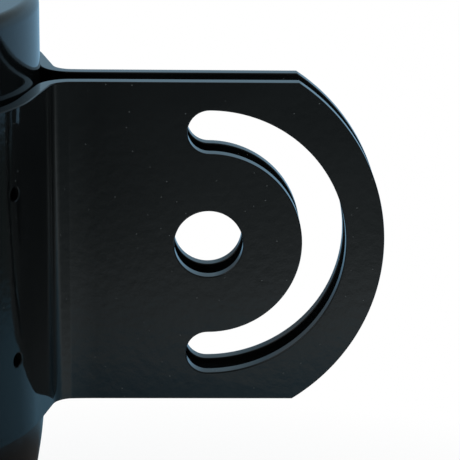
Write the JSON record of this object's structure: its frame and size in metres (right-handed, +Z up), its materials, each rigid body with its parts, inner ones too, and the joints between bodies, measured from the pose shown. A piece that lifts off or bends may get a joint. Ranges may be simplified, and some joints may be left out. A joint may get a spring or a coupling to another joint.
{
  "type": "post anchor spike",
  "caption": "Drive-in ground spike with a round steel head and a clamp whose two parallel ears carry a pivot hole and a half-circle slot for a tilting post fitting.",
  "frame": {"origin": "centre of the head's flat top, on the spike's vertical axis", "axes": "+Z up along the spike's axis, +X towards the ears, -Y the side of the front clamp half"},
  "size_m": [0.2409, 0.1236, 0.4055],
  "materials": {
    "head_paint": "glossy black paint",
    "clamp_paint": "glossy black paint with slight orange peel",
    "spike_paint": "satin black paint",
    "bare_steel": "plain rolled steel",
    "zinc_plate": "bright zinc plated"
  },
  "bodies": {
    "anchor": {"head_shell": "head_paint", "joint_sleeve": "bare_steel", "spike_cone": "spike_paint", "spike_point": "spike_paint", "fin_rear_right": "spike_paint", "fin_rear_left": "spike_paint", "fin_front_left": "spike_paint", "fin_front_right": "spike_paint"},
    "rear_clamp": {"rear_clamp_half": "clamp_paint", "clamp_bolt_upper": "zinc_plate", "clamp_bolt_lower": "zinc_plate", "bolt_washer_upper": "zinc_plate", "bolt_washer_lower": "zinc_plate"},
    "front_clamp": {"front_clamp_half": "clamp_paint", "nut_washer_upper": "zinc_plate", "nut_washer_lower": "zinc_plate", "spring_washer_upper": "zinc_plate", "spring_washer_lower": "zinc_plate"},
    "upper_nut": {"clamp_nut_upper": "zinc_plate"},
    "lower_nut": {"clamp_nut_lower": "zinc_plate"}
  },
  "joints": [
    {"name": "clamp_swivel", "type": "hinge", "parent": "anchor", "child": "rear_clamp", "pos_m": [0, 0, -0.0595], "axis": [0, 0, 1], "continuous": true},
    {"name": "clamp_open", "type": "slide", "parent": "rear_clamp", "child": "front_clamp", "axis": [0, -1, 0], "range_m": [0, 0.0045]},
    {"name": "upper_nut_turn", "type": "hinge", "parent": "front_clamp", "child": "upper_nut", "pos_m": [-0.084, -0.0155, -0.0375], "axis": [0, -1, 0], "range_deg": [0, 1080]},
    {"name": "lower_nut_turn", "type": "hinge", "parent": "front_clamp", "child": "lower_nut", "pos_m": [-0.084, -0.0155, -0.0815], "axis": [0, -1, 0], "range_deg": [0, 1080]}
  ],
  "couplings": [
    {"joint": "upper_nut_turn", "follows": "clamp_open", "rad_per_m": 4188.8},
    {"joint": "lower_nut_turn", "follows": "clamp_open", "rad_per_m": 4188.8}
  ]
}
